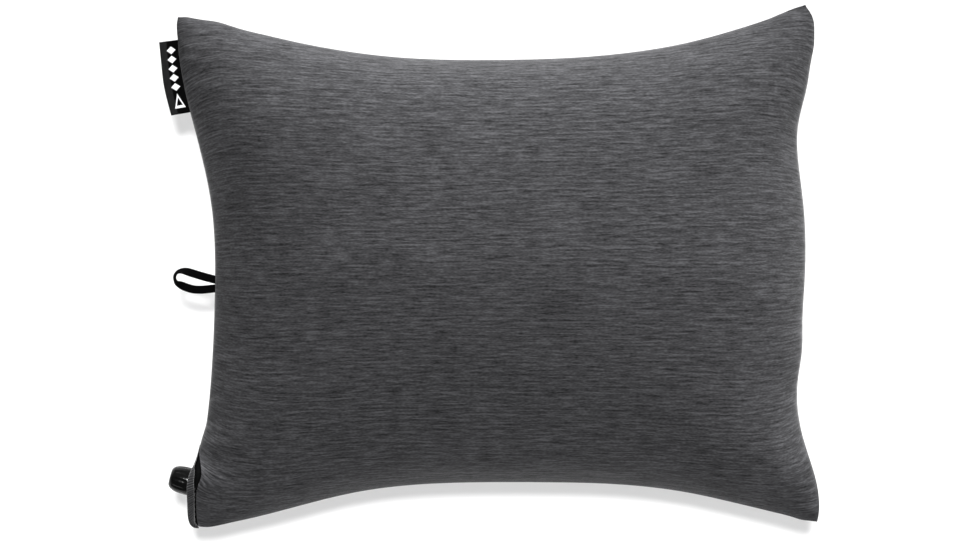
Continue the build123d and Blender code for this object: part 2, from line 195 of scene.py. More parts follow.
def slot_lift(x, y):
    """How far the valve holds the cloth off the seam's level near its opening."""
    reach = np.clip(np.abs(y - VALVE_AT.y) / SLOT_HALF, 0, 1)
    bump = np.cos(reach * math.pi / 2) ** 1.5
    left = np.interp(y, *SIDES[0])
    inset = np.maximum(x - left, 0)
    return SLOT_LIFT * bump * np.exp(-(inset / SLOT_DEPTH) ** 2)


def run_along(points, axis):
    """Distance over the cloth along one direction of the grid, counted from its middle."""
    step = np.linalg.norm(np.diff(points, axis=axis), axis=-1)
    run = np.concatenate([np.zeros_like(np.take(step, [0], axis)), np.cumsum(step, axis)], axis)
    return run - np.take(run, [points.shape[axis] // 2], axis)


def panel_points(rise):
    """Grid of points, cloth coordinates and places of one panel before simulation."""
    across, along = np.meshgrid(stations(ACROSS), stations(ALONG), indexing="ij")
    xy = plan(across, along)
    swell = abs(rise) * swell_share(across) * swell_share(along)
    height = np.sqrt(swell ** 2 + slot_lift(xy[..., 0], xy[..., 1]) ** 2)
    points = np.concatenate([xy, (SEAM_Z + np.sign(rise) * height)[..., None]], -1)
    return points, courses(points, across, along), np.stack([across, along], -1)


def courses(points, across, along):
    """Cloth coordinates: X along the knit's streaks and Y across them, drawn in at the ends of the pillow."""
    half_x, half_y = (PANEL_HIGH.x - PANEL_LOW.x) / 2, (PANEL_HIGH.y - PANEL_LOW.y) / 2
    middle = points[points.shape[0] // 2]
    steep = run_along(middle, 0) - middle[:, 1]
    level = (1 - COURSE_FOLLOW) * points[..., 1] + COURSE_FOLLOW * along * half_y
    to_end = (1 - np.abs(across)) * half_x
    ears = 1 - 0.6 * smoothstep(np.abs(level), 110 * MM, 165 * MM)
    crowd = 1 + STREAK_BEND * ears * np.exp(-to_end / STREAK_REACH)
    from_slot = np.hypot(points[..., 0] - VALVE_AT.x - 9 * MM, points[..., 1] - VALVE_AT.y - 2 * MM)
    drawn = 3 * MM * np.exp(-from_slot / (20 * MM))
    return np.stack([run_along(points, 0), level * crowd + steep[None] - drawn], -1)


def add_map(mesh, name, values):
    """UV map from one pair of values per vertex."""
    index = np.zeros(len(mesh.loops), np.int32)
    mesh.loops.foreach_get("vertex_index", index)
    uv = mesh.uv_layers.new(name=name)
    uv.data.foreach_set("uv", values.reshape(-1, 2)[index].astype(np.float32).ravel())


def smooth_faces(mesh):
    """Shade every face smooth."""
    mesh.polygons.foreach_set("use_smooth", [True] * len(mesh.polygons))


def grid_object(name, points, cloth, upward, wrap=False):
    """Mesh object from a grid of points with a UV map in metres of cloth."""
    rows, cols = points.shape[:2]
    faces = []
    for i in range(rows - 1):
        for j in range(cols - (0 if wrap else 1)):
            k = (j + 1) % cols
            quad = (i * cols + j, (i + 1) * cols + j, (i + 1) * cols + k, i * cols + k)
            faces.append(quad if upward else quad[::-1])
    mesh = bpy.data.meshes.new(name)
    mesh.from_pydata(points.reshape(-1, 3).tolist(), [], faces)
    add_map(mesh, "cloth", cloth)
    smooth_faces(mesh)
    thing = bpy.data.objects.new(name, mesh)
    bpy.context.scene.collection.objects.link(thing)
    return thing


def coordinates(thing):
    """Vertex positions as an array."""
    co = np.zeros(len(thing.data.vertices) * 3, np.float32)
    thing.data.vertices.foreach_get("co", co)
    return co.reshape(-1, 3).astype(float)


def set_coordinates(thing, co):
    """Write vertex positions back."""
    thing.data.vertices.foreach_set("co", co.astype(np.float32).ravel())
    thing.data.update()


def normals(thing):
    """Vertex normals as an array."""
    n = np.zeros(len(thing.data.vertices) * 3, np.float32)
    thing.data.vertex_normals.foreach_get("vector", n)
    return n.reshape(-1, 3).astype(float)


def apply_modifiers(thing):
    """Bake the modifier stack into the mesh."""
    graph = bpy.context.evaluated_depsgraph_get()
    mesh = bpy.data.meshes.new_from_object(thing.evaluated_get(graph), preserve_all_data_layers=True,
                                           depsgraph=graph)
    thing.modifiers.clear()
    thing.data = mesh
    return thing


def inflate(thing, rim):
    """Air pressure on the cloth, held at the seam, with the result applied."""
    group = thing.vertex_groups.new(name="seam")
    group.add([int(k) for k in rim], 1.0, "REPLACE")
    start = coordinates(thing)
    out = normals(thing)
    cloth = thing.modifiers.new("air", "CLOTH")
    cloth.settings.quality = 6
    cloth.settings.mass = 0.25
    cloth.settings.tension_stiffness = 6
    cloth.settings.compression_stiffness = 3
    cloth.settings.shear_stiffness = 2
    cloth.settings.bending_stiffness = 0.6
    cloth.settings.air_damping = 3
    cloth.settings.use_pressure = True
    cloth.settings.uniform_pressure_force = PRESSURE
    cloth.settings.vertex_group_mass = "seam"
    cloth.settings.effector_weights.gravity = 0
    cloth.point_cache.frame_start = 1
    cloth.point_cache.frame_end = SIM_FRAMES
    scene = bpy.context.scene
    scene.frame_start, scene.frame_end = 1, SIM_FRAMES
    for step in range(1, SIM_FRAMES + 1):
        scene.frame_set(step)
    apply_modifiers(thing)
    moved = coordinates(thing) - start
    pushed = np.clip((moved * out).sum(1), 0, SWELL_CAP)
    scene.frame_set(1)
    return start, out, pushed


def cover_panel(name, rise, pucker_seed):
    """One knit panel: simulated under pressure, subdivided, puckered at the seam and given thickness."""
    upward = rise > 0
    points, cloth, place = panel_points(rise)
    thing = grid_object(name, points, cloth, upward)
    add_map(thing.data, "place", place)
    rows, cols = points.shape[:2]
    index = np.arange(rows * cols).reshape(rows, cols)
    rim = np.unique(np.concatenate([index[0], index[-1], index[:, 0], index[:, -1]]))
    start, out, pushed = inflate(thing, rim)
    edge = np.minimum(swell_share(place[..., 0]), swell_share(place[..., 1])).ravel()
    set_coordinates(thing, start + out * (pushed * smoothstep(edge, 0.02, 0.5))[:, None])
    fine = thing.modifiers.new("fine", "SUBSURF")
    fine.levels = fine.render_levels = 2
    fine.boundary_smooth = "ALL"
    fine.uv_smooth = "NONE"
    apply_modifiers(thing)
    detail(thing, upward, pucker_seed)
    thickness = thing.modifiers.new("thickness", "SOLIDIFY")
    thickness.thickness = CLOTH
    thickness.offset = -1
    apply_modifiers(thing)
    smooth_faces(thing.data)
    return thing


def vertex_map(thing, name):
    """Values of a UV map at each vertex."""
    mesh = thing.data
    uv = np.zeros(len(mesh.loops) * 2, np.float32)
    mesh.uv_layers[name].data.foreach_get("uv", uv)
    index = np.zeros(len(mesh.loops), np.int32)
    mesh.loops.foreach_get("vertex_index", index)
    cloth = np.zeros((len(mesh.vertices), 2))
    cloth[index] = uv.reshape(-1, 2)
    return cloth


def waves(run, seed, lengths):
    """Sum of sines of mixed length along a run, from -1 to 1, with phases from a seed."""
    draw = np.random.RandomState(seed)
    total = np.zeros_like(run)
    for length in lengths:
        total += np.sin(2 * math.pi * run / length + draw.uniform(0, 2 * math.pi))
    return total / len(lengths)


def detail(thing, upward, seed):
    """Small shape of the real cloth: puckers along the seam, soft folds at the corners and the flat rest."""
    co = coordinates(thing)
    out = normals(thing)
    place = vertex_map(thing, "place")
    half_x, half_y = (PANEL_HIGH.x - PANEL_LOW.x) / 2, (PANEL_HIGH.y - PANEL_LOW.y) / 2
    lift = np.zeros(len(co))
    for axis, half, shift in ((0, half_x, 1), (1, half_y, 2)):
        # height over the seam and distance in from it both count as distance over the cloth
        rise = np.abs(co[:, 2] - SEAM_Z)
        distance = np.hypot((1 - np.abs(place[:, axis])) * half, np.minimum(rise, 60 * MM))
        run = co[:, 1 - axis]
        roll = smoothstep(distance, 0.1 * MM, 3.5 * MM) * (1 - smoothstep(distance, 5 * MM, 16 * MM))
        band = smoothstep(distance, 0.5 * MM, 6 * MM) * (1 - smoothstep(distance, 8 * MM, 34 * MM))
        broad = smoothstep(distance, 2 * MM, 30 * MM) * (1 - smoothstep(distance, 40 * MM, 95 * MM))
        lift += 0.35 * MM * roll
        lift += 0.32 * MM * band * waves(run, seed + shift, (9 * MM, 14 * MM, 23 * MM))
        lift += 0.45 * MM * broad * (1 + waves(run, seed + 7 * shift, (58 * MM, 91 * MM)))
    lift += opening_creases(co)
    if upward:
        from_ridge = np.hypot(co[:, 1], RIDGE_ROUND) - RIDGE_ROUND
        ends = 1 - smoothstep(np.abs(place[:, 0]), 0.55, 0.98)
        lift += CROWN_RIDGE * np.exp(-from_ridge / RIDGE_REACH) * ends
    co = co + out * np.maximum(lift, -0.2 * MM)[:, None]
    if not upward:
        rest = 0.35 * MM
        sink = co[:, 2] - rest
        soft = 1.2 * MM
        co[:, 2] = rest + 0.5 * (sink + np.sqrt(sink ** 2 + soft ** 2)) - 0.5 * soft * 0.6
        co[:, 2] = np.maximum(co[:, 2], 0.1 * MM)
    set_coordinates(thing, co)


def opening_creases(co):
    """Fine pulls that fan out beside the opening, where the cloth is drawn over the valve."""
    from_x = co[:, 0] - (VALVE_AT.x + 3 * MM)
    from_y = co[:, 1] - (VALVE_AT.y + 14 * MM)
    away = np.hypot(from_x, from_y)
    turn = np.arctan2(from_y, from_x)
    fan = smoothstep(turn, math.radians(-88), math.radians(-55))
    fan = fan * (1 - smoothstep(turn, math.radians(-28), 0))
    reach = smoothstep(away, 8 * MM, 18 * MM) * (1 - smoothstep(away, 26 * MM, 52 * MM))
    return 0.34 * MM * fan * reach * np.sin(turn * 34)


# ---- strips and tubes ---------------------------------------------------------------------------
def loft(name, sections, cloth=None):
    """Closed tube through rings of points, capped at both ends."""
    rings, count = sections.shape[:2]
    if cloth is None:
        run = np.concatenate([[0], np.cumsum(np.linalg.norm(np.diff(sections.mean(1), axis=0), axis=1))])
        round_it = np.linalg.norm(np.diff(sections[0], axis=0), axis=1).sum()
        girth = np.linspace(0, 1, count, endpoint=False) * round_it
        cloth = np.stack(np.broadcast_arrays(run[:, None], girth[None, :]), -1)
    thing = grid_object(name, sections, cloth, True, wrap=True)
    capped = bpy.data.meshes.new(name)
    faces = [tuple(p.vertices) for p in thing.data.polygons]
    faces.append(tuple(range(count)))
    faces.append(tuple(range(rings * count - 1, (rings - 1) * count - 1, -1)))
    capped.from_pydata(sections.reshape(-1, 3).tolist(), [], faces)
    add_map(capped, "cloth", cloth)
    thing.data = capped
    outward(thing)
    smooth_faces(thing.data)
    return thing


def outward(thing, weld=0):
    """Join vertices closer than weld, where it isn't 0, and point a closed mesh's faces outward."""
    work = bmesh.new()
    work.from_mesh(thing.data)
    if weld:
        bmesh.ops.remove_doubles(work, verts=work.verts, dist=weld)
    bmesh.ops.recalc_face_normals(work, faces=work.faces)
    work.to_mesh(thing.data)
    work.free()


def spline_through(points, count):
    """Smooth open run through given points, evenly sampled (Catmull-Rom)."""
    p = np.array(points, float)
    p = np.vstack([2 * p[0] - p[1], p, 2 * p[-1] - p[-2]])
    dense = []
    for k in range(1, len(p) - 2):
        t = np.linspace(0, 1, 24, endpoint=False)[:, None]
        a, b, c, d = p[k - 1], p[k], p[k + 1], p[k + 2]
        dense.append(0.5 * (2 * b + (c - a) * t + (2 * a - 5 * b + 4 * c - d) * t ** 2
                            + (3 * b - a - 3 * c + d) * t ** 3))
    dense = np.vstack(dense + [p[-2][None]])
    run = np.concatenate([[0], np.cumsum(np.linalg.norm(np.diff(dense, axis=0), axis=1))])
    at = np.linspace(0, run[-1], count)
    return np.stack([np.interp(at, run, dense[:, k]) for k in range(dense.shape[1])], -1), at


def unit(v):
    """Rows scaled to length one."""
    return v / np.maximum(np.linalg.norm(v, axis=-1, keepdims=True), 1e-12)


# ---- hem of the valve opening -------------------------------------------------------------------
HEM_STEPS = 340
RIB = 1.65 * MM  # overlock stitch to stitch
LINING_TUCK = 2.6 * MM
STEM_CLEAR = 7.4 * MM  # half height over the valve's stem
HEM_STITCHES = 7
# Plan offsets from the valve, mm, from the opening's upper end down to the corner.
HEM_CREASE = ((9.1, 24), (8.1, 19), (7.5, 16), (5.6, 10.4), (6.1, 7.5), (5.9, 3.5), (5.7, -0.4), (5.8, -6.5),
              (5.5, -14.5), (5.3, -22.5), (5.7, -27), (8.1, -30.2))
HEM_OUTER = ((8.9, 24.2), (8.1, 21), (6.8, 15.6), (4.9, 10.2), (3.8, 8.0), (2.3, 3.9), (1.2, -1.4),
             (0.8, -6.7), (0.7, -14), (0.6, -21), (0.9, -24.5), (1.6, -27.2), (2.9, -29.5), (5.2, -31),
             (8.2, -31.3))


def rail(offsets):
    """Smooth line in plan through offsets from the valve, lifted as the opening's edge is."""
    points = [(VALVE_AT.x + dx * MM, VALVE_AT.y + dy * MM) for dx, dy in offsets]
    line, run = spline_through(points, HEM_STEPS)
    return np.column_stack([line, slot_lift(line[:, 0], line[:, 1])]), run


def between_rails(name, first, second, section, side):
    """Closed strip between two rails: each section point is a share across and a rise in metres."""
    rings = []
    for across, rise in section:
        ring = first + (second - first) * np.asarray(across).reshape(-1, 1)
        ring[:, 2] = np.maximum(ring[:, 2] + rise, 0.08 * MM)
        rings.append(ring)
    rings = np.stack(rings, 1)
    rings[..., 2] = SEAM_Z + side * rings[..., 2]
    thing = loft(name, rings)
    fine = thing.modifiers.new("fine", "SUBSURF")
    fine.levels = fine.render_levels = 1
    return apply_modifiers(thing)


def hem(name, side):
    """Folded, overlocked lip that stands a little proud of its crease."""
    crease, run = rail(HEM_CREASE)
    outer, _ = rail(HEM_OUTER)
    width = np.linalg.norm(outer - crease, axis=1)
    thick = np.minimum(1.9 * MM, 0.42 * width + 0.35 * MM)
    rib = 0.24 * MM * np.cos(2 * math.pi * run / RIB) * smoothstep(width, 0.5 * MM, 2 * MM)
    section = [(0.0, 0.05 * thick), (0.10, 0.38 * thick + 0.4 * rib), (0.28, 0.58 * thick + rib),
               (0.52, 0.62 * thick + rib), (0.76, 0.50 * thick + rib), (0.93, 0.22 * thick + rib),
               (1.0, -0.1 * thick), (0.95, -0.42 * thick), (0.75, -0.58 * thick), (0.45, -0.6 * thick),
               (0.15, -0.55 * thick), (0.0, -0.3 * thick)]
    return between_rails(name, crease, outer, section, side)


def opening_lining_and_painted_shade(name, side):
    """Dark inside of the opening, partly a real dark lining and partly painted shade of the deep slot: it
    dips from the hem's crease to under the panel.
    """
    inner, _ = rail(FABRIC_EDGE[2:])
    crease, _ = rail(HEM_CREASE)
    lift = inner[:, 2].copy()
    inner[:, 0] += LINING_TUCK * smoothstep(lift, 0.2 * MM, 3 * MM)
    low = np.maximum(DEFLATED * lift - 1.1 * MM, STEM_CLEAR * smoothstep(lift, 8 * MM, 10.5 * MM))
    inner[:, 2] = 0
    section = []
    for share in np.linspace(0, 1, 9):
        rise = low + (crease[:, 2] - low) * share ** 1.7 - 0.25 * MM - 0.5 * MM * (1 - share)
        section.append((share, rise))
    section += [(share, rise - 0.6 * MM) for share, rise in section[::-1]]
    crease[:, 2] = 0
    return between_rails(name, inner, crease, section, side)


def merge(name, things):
    """One object from several, with the parts' own meshes joined."""
    verts, faces, uvs, start = [], [], [], 0
    for thing in things:
        mesh = thing.data
        verts += [tuple(v.co) for v in mesh.vertices]
        faces += [tuple(start + k for k in p.vertices) for p in mesh.polygons]
        uvs += [tuple(d.uv) for d in mesh.uv_layers["cloth"].data]
        start += len(mesh.vertices)
        bpy.data.objects.remove(thing)
    mesh = bpy.data.meshes.new(name)
    mesh.from_pydata(verts, [], faces)
    mesh.uv_layers.new(name="cloth").data.foreach_set("uv", np.array(uvs, np.float32).ravel())
    smooth_faces(mesh)
    joined = bpy.data.objects.new(name, mesh)
    bpy.context.scene.collection.objects.link(joined)
    return joined


def hem_stitches():
    """Sunk stitches along both creases, each a short fat thread with tapered ends."""
    crease, run = rail(HEM_CREASE)
    along = np.linspace(-1, 1, 9)
    turn = np.linspace(0, 2 * math.pi, 10, endpoint=False)
    made = []
    for side in (1, -1):
        for k in range(HEM_STITCHES):
            middle = run[-1] * (0.53 + 0.062 * k)
            at = middle + 1.1 * MM * along
            line = np.stack([np.interp(at, run, crease[:, c]) for c in range(3)], -1)
            line[:, 0] += 0.45 * MM
            line[:, 2] = SEAM_Z + side * (line[:, 2] + 0.55 * MM - 0.25 * MM * along ** 2)
            tangent = unit(np.gradient(line, axis=0))
            level = unit(np.cross(np.array([0, 0, 1.0])[None], tangent))
            up = np.cross(tangent, level)
            radius = 0.30 * MM * np.sqrt(1.02 - along ** 2)
            rings = line[:, None] + radius[:, None, None] * (np.cos(turn)[None, :, None] * level[:, None]
                                                              + np.sin(turn)[None, :, None] * up[:, None])
            made.append(loft("stitch", rings))
    return merge("hem_stitches", made)


# ---- hang loop ----------------------------------------------------------------------------------
TAPE_WIDTH = 5.4 * MM
TAPE_THICKNESS = 1.25 * MM
# Centre line of the tape in shares of the loop's box, from the upper root round the bend to the lower root.
LOOP_ROUTE = ((1.10, 0.535), (1.00, 0.56), (0.69, 0.69), (0.47, 0.795), (0.27, 0.875), (0.12, 0.835),
              (0.048, 0.66), (0.085, 0.45), (0.20, 0.345), (0.34, 0.255), (0.50, 0.185), (0.70, 0.17),
              (1.00, 0.215), (1.10, 0.23))
LOOP_STEPS = 150


def hang_loop():
    """Ribbed tape, flat where it leaves the seam and turned on its edge round the bend."""
    size = LOOP_HIGH - LOOP_LOW
    points = [(LOOP_LOW.x + fx * size.x, LOOP_LOW.y + fy * size.y) for fx, fy in LOOP_ROUTE]
    line, run = spline_through(points, LOOP_STEPS)
    line = np.column_stack([line, np.full(LOOP_STEPS, SEAM_Z)])
    tangent = unit(np.gradient(line, axis=0))
    level = np.cross(np.array([0, 0, 1.0])[None], tangent)
    share = run / run[-1]
    turn = math.radians(72) * smoothstep(share, 0.26, 0.46) * (1 - smoothstep(share, 0.51, 0.66))
    wide = level * np.cos(turn)[:, None] + np.array([0, 0, 1.0]) * np.sin(turn)[:, None]
    through = np.cross(tangent, wide)
    profile = tape_profile()
    rings = line[:, None] + wide[:, None] * profile[None, :, :1] + through[:, None] * profile[None, :, 1:]
    girth = np.concatenate([[0], np.cumsum(np.linalg.norm(np.diff(profile, axis=0), axis=1))])
    cloth = np.stack(np.broadcast_arrays(run[:, None], girth[None, :]), -1)
    return loft("hang_loop_tape", rings, cloth)


def tape_profile(ribs=6, per_rib=6):
    """Cross section of the tape: a flat oval with lengthwise ribs on both faces."""
    across = np.linspace(-0.5, 0.5, ribs * per_rib + 1)
    rib = 0.10 * MM * np.abs(np.sin(math.pi * ribs * (across + 0.5)))
    edge = np.sqrt(np.clip(1 - (2 * np.abs(across)) ** 8, 0, 1))
    upper = np.stack([across * TAPE_WIDTH, (TAPE_THICKNESS / 2 - 0.1 * MM + rib) * edge], -1)
    lower = np.stack([across[::-1] * TAPE_WIDTH, -((TAPE_THICKNESS / 2 - 0.1 * MM + rib) * edge)[::-1]], -1)
    return np.vstack([upper, lower[1:-1]])


# ---- side label ---------------------------------------------------------------------------------
LABEL_THICK = 0.55 * MM  # one layer
LABEL_GAP_AT_SEAM = 0.04 * MM  # half the space between the layers
LABEL_GAP_GROWTH = 0.40 * MM  # by which it is wider at the fold
LABEL_FOLD = 0.07  # how far the fold stands out, as a share of the label's width
LABEL_STEPS = 60
LABEL_TAIL = 0.7 * MM  # length of each end inside the seam
LABEL_BORDER = 8.7 * MM  # from the seam to the lighter border along the fold
# Plan points, mm, of the label's line at the seam and of its fold, from the upper to the lower end.
LABEL_SEAM = ((-205.2, 149.7), (-203.9, 134), (-201.3, 118), (-197.8, 101.8))
LABEL_OUTSIDE = ((-217.2, 148.1), (-215.8, 134), (-214.4, 121.6), (-212.3, 111.5), (-209.2, 99.8))


def label_edges(count):
    """Inner and outer edge of the label in plan."""
    edges = []
    for points in (LABEL_SEAM, LABEL_OUTSIDE):
        edges.append(spline_through([(x * MM, y * MM) for x, y in points], count)[0])
    return edges


def label_gap(share):
    """Half the space between the label's layers, at a share of the way from the seam to the fold."""
    return LABEL_GAP_AT_SEAM + LABEL_GAP_GROWTH * smoothstep(share, 0.2, 0.95)


def side_label():
    """Woven label folded double: two layers with a round fold outside, a little apart at the fold."""
    inner, outer = label_edges(LABEL_STEPS)
    share = np.linspace(0, 1, 22)
    inner = inner + unit(inner - outer) * LABEL_TAIL
    profile = []
    gap = label_gap(share)
    thick = LABEL_THICK * (0.5 + 0.5 * smoothstep(share, 0.02, 0.25))
    for t, g, layer in zip(share, gap, thick):
        profile.append((t, g + layer))
    for angle in np.linspace(80, -80, 9):
        bend = math.radians(angle)
        profile.append((1.0 + LABEL_FOLD * math.cos(bend), (gap[-1] + LABEL_THICK) * math.sin(bend)))
    for t, g, layer in zip(share[::-1], gap[::-1], thick[::-1]):
        profile.append((t, -g - layer))
    for t, g in zip(share, gap):
        profile.append((t, -g))
    for t, g in zip(share[::-1], gap[::-1]):
        profile.append((t, g))
    profile = np.array(profile)
    rings = inner[:, None] + (outer - inner)[:, None] * profile[None, :, :1]
    z = SEAM_Z + np.broadcast_to(profile[None, :, 1], rings.shape[:2])
    rings = np.concatenate([rings, z[..., None]], -1)
    run = np.concatenate([[0], np.cumsum(np.linalg.norm(np.diff(inner, axis=0), axis=1))])
    width = np.linalg.norm(outer - inner, axis=1).mean()
    cloth = np.stack(np.broadcast_arrays(run[:, None], profile[None, :, 0] * width), -1)
    return loft("side_label_woven", rings, cloth)


def label_mark():
    """Plain woven mark on the label's upper face: a triangle and a row of diamonds, no lettering."""
    inner, outer = label_edges(LABEL_STEPS)

    def face(across):
        return SEAM_Z + label_gap(across) + LABEL_THICK

    def place(along, across):
        steps = range(LABEL_STEPS)
        at = along * (LABEL_STEPS - 1)
        edges = [np.array([np.interp(at, steps, edge[:, c]) for c in (0, 1)]) for edge in (inner, outer)]
        return edges[0] + (edges[1] - edges[0]) * across
    shapes = []
    for k in range(5):
        along = 0.13 + 0.125 * k
        shapes.append([(along, 0.20), (along + 0.052, 0.45), (along, 0.70), (along - 0.052, 0.45)])
    shapes.append([(0.92, 0.15), (0.72, 0.45), (0.775, 0.45), (0.885, 0.28)])
    shapes.append([(0.72, 0.45), (0.92, 0.75), (0.885, 0.62), (0.775, 0.45)])
    shapes.append([(0.92, 0.15), (0.885, 0.28), (0.885, 0.62), (0.92, 0.75)])
    verts, faces = [], []
    for shape in shapes:
        first = len(verts)
        for rise in (-0.12 * MM, 0.07 * MM):
            verts += [(*place(*p), face(p[1]) + rise) for p in shape]
        faces += [(first + 3, first + 2, first + 1, first), (first + 4, first + 5, first + 6, first + 7)]
        faces += [(first + k, first + (k + 1) % 4, first + 4 + (k + 1) % 4, first + 4 + k) for k in range(4)]
    mesh = bpy.data.meshes.new("label_mark")
    mesh.from_pydata(verts, [], faces)
    thing = bpy.data.objects.new("label_mark", mesh)
    bpy.context.scene.collection.objects.link(thing)
    outward(thing)
    return thing


# ---- mouthpiece ---------------------------------------------------------------------------------
GRIPS = 10
GRIP_DEPTH = 0.32 * MM
MOUTH_STEPS = 160
# Radius and height along the valve's axis, mm, once round the wall of the mouthpiece.
MOUTH_OUTLINE = ((6.1, -4.0), (8.7, -4.0), (9.15, -3.5), (9.15, -0.2), (9.05, 2.2), (8.8, 4.6), (8.35, 6.8),
                 (7.5, 8.9), (6.4, 10.2), (5.3, 10.85), (4.3, 10.95), (3.5, 10.8), (3.2, 10.4), (3.2, 8.8),
                 (4.6, 8.8), (4.6, 3.5), (6.1, 3.5), (6.1, -4.0))


def mouthpiece():
    """Tapered gloss body with a round shoulder, shallow grip flutes and a narrow mouth."""
    outline = []
    for (r0, h0), (r1, h1) in zip(MOUTH_OUTLINE, MOUTH_OUTLINE[1:]):
        steps = max(2, int(math.hypot(r1 - r0, h1 - h0) / 0.45))
        for k in range(steps):
            outline.append((r0 + (r1 - r0) * k / steps, h0 + (h1 - h0) * k / steps))
    outline = np.array(outline) * MM
    turn = np.linspace(0, 2 * math.pi, MOUTH_STEPS, endpoint=False)
    outside = (outline[:, 0] > 6.3 * MM) & (outline[:, 1] > -3.4 * MM)
    height = outline[:, 1]
    fade = smoothstep(height, -1.5 * MM, 2 * MM) * (1 - smoothstep(height, 6.5 * MM, 9.5 * MM)) * outside
    flute = GRIP_DEPTH * np.clip(np.cos(GRIPS * turn), 0, 1)[None] ** 1.5
    r = outline[:, :1] - fade[:, None] * flute
    side = Vector((0, 0, 1))
    other = VALVE_AXIS.cross(side)
    a, b, c = (np.array(v) for v in (VALVE_AXIS, side, other))
    points = np.array(VALVE_AT) + outline[:, 1][:, None, None] * a
    points = points + r[..., None] * (np.cos(turn)[None, :, None] * b + np.sin(turn)[None, :, None] * c)
    closed = np.concatenate([points, points[:1]], 0)
    cloth = np.stack(np.broadcast_arrays(np.linspace(0, 0.06, len(closed))[:, None], turn[None] * 8 * MM), -1)
    thing = grid_object("mouthpiece_shell", closed, cloth, True, wrap=True)
    outward(thing, weld=1e-7)
    smooth_faces(thing.data)
    return thing


# ---- materials ----------------------------------------------------------------------------------
KNIT_COOL = 0.06  # how much bluer than grey the knit is
WOVEN_COOL = 0.03


class Paint:
    """Small helper that builds a node material on a Principled shader."""

    def __init__(self, name, roughness=0.8, **sockets):
        self.material = bpy.data.materials.new(name)
        self.material.use_nodes = True
        self.tree = self.material.node_tree
        self.shader = self.tree.nodes["Principled BSDF"]
        self.shader.inputs["Roughness"].default_value = roughness
        for socket, value in sockets.items():
            self.shader.inputs[socket.replace("_", " ")].default_value = value

    def node(self, kind, **inputs):
        made = self.tree.nodes.new(kind)
        for name, value in inputs.items():
            self.put(made, name.replace("_", " "), value)
        return made

    def put(self, node, name, value):
        socket = node.inputs[int(name[1:])] if name[0] == "i" and name[1:].isdigit() else node.inputs[name]
        if isinstance(value, bpy.types.NodeSocket):
            self.tree.links.new(value, socket)
        else:
            socket.default_value = value

    def math(self, operation, a, b=0.0):
        made = self.tree.nodes.new("ShaderNodeMath")
        made.operation = operation
        self.put(made, "i0", a)
        self.put(made, "i1", b)
        return made.outputs[0]

    def cloth(self, x, y, offset=(0, 0, 0)):
        """The cloth map scaled so that one unit is x by y metres."""
        where = self.node("ShaderNodeUVMap")
        where.uv_map = "cloth"
        scaled = self.node("ShaderNodeMapping", Vector=where.outputs[0], Scale=(1 / x, 1 / y, 1),
                           Location=offset)
        return scaled.outputs[0]

    def solid(self, size):
        """Object coordinates scaled so that one unit is size metres."""
        where = self.node("ShaderNodeTexCoord")
        scaled = self.node("ShaderNodeMapping", Vector=where.outputs["Object"], Scale=(1 / size,) * 3)
        return scaled.outputs[0]

    def noise(self, vector, detail=2.0, rough=0.5):
        made = self.node("ShaderNodeTexNoise", Vector=vector, Scale=1.0, Detail=detail, Roughness=rough)
        return made.outputs[0]

    def wave(self, vector, axis="X", distortion=0.0):
        made = self.node("ShaderNodeTexWave", Vector=vector, Scale=0.314159, Distortion=distortion)
        made.bands_direction = axis
        return made.outputs[1]

    def ramp(self, factor, stops):
        made = self.node("ShaderNodeValToRGB", Fac=factor)
        ramp = made.color_ramp
        while len(ramp.elements) < len(stops):
            ramp.elements.new(0.5)
        for element, (place, colour) in zip(ramp.elements, stops):
            element.position = place
            element.color = (*colour, 1) if len(colour) == 3 else colour
        return made.outputs[0]

    def colour(self, socket):
        self.put(self.shader, "Base Color", socket)

    def bump(self, height, distance, strength=1.0):
        made = self.node("ShaderNodeBump", Height=height, Strength=strength, Distance=distance)
        self.put(self.shader, "Normal", made.outputs[0])


def grey(value, cool=0.0):
    """Near-neutral colour, a touch bluer where cool is above zero."""
    return (value, value, value * (1 + cool))


def knit(name, dark, middle, light):
    """Melange stretch knit: short dark and light streaks along X, fine courses and a soft nap."""
    paint = Paint(name, 0.9, Sheen_Weight=0.26, Sheen_Roughness=0.38, Specular_IOR_Level=0.12)
    short = paint.noise(paint.cloth(9.5 * MM, 1.3 * MM), 1.6, 0.5)
    long = paint.noise(paint.cloth(36 * MM, 1.8 * MM, (3.7, 9.1, 0)), 1.0, 0.5)
    tiny = paint.noise(paint.cloth(2.2 * MM, 0.8 * MM, (7.7, 1.3, 0)), 0.0)
    patch = paint.noise(paint.cloth(45 * MM, 16 * MM, (1.7, 5.1, 0)), 1.0)
    streak = paint.math("ADD", paint.math("MULTIPLY", short, 0.44), paint.math("MULTIPLY", long, 0.29))
    streak = paint.math("ADD", streak, paint.math("MULTIPLY", tiny, 0.20))
    streak = paint.math("ADD", streak, paint.math("MULTIPLY", patch, 0.07))
    stops = [(0.36, grey(dark, KNIT_COOL)), (0.5, grey(middle, KNIT_COOL)), (0.65, grey(light, KNIT_COOL))]
    paint.colour(paint.ramp(streak, stops))
    course = paint.wave(paint.cloth(0.62 * MM, 0.62 * MM), "Y", 0.6)
    wale = paint.wave(paint.cloth(0.8 * MM, 0.8 * MM), "X", 1.2)
    height = paint.math("ADD", paint.math("MULTIPLY", streak, 1.6), paint.math("MULTIPLY", course, 0.30))
    height = paint.math("ADD", height, paint.math("MULTIPLY", wale, 0.16))
    paint.bump(height, 0.00016)
    return paint.material


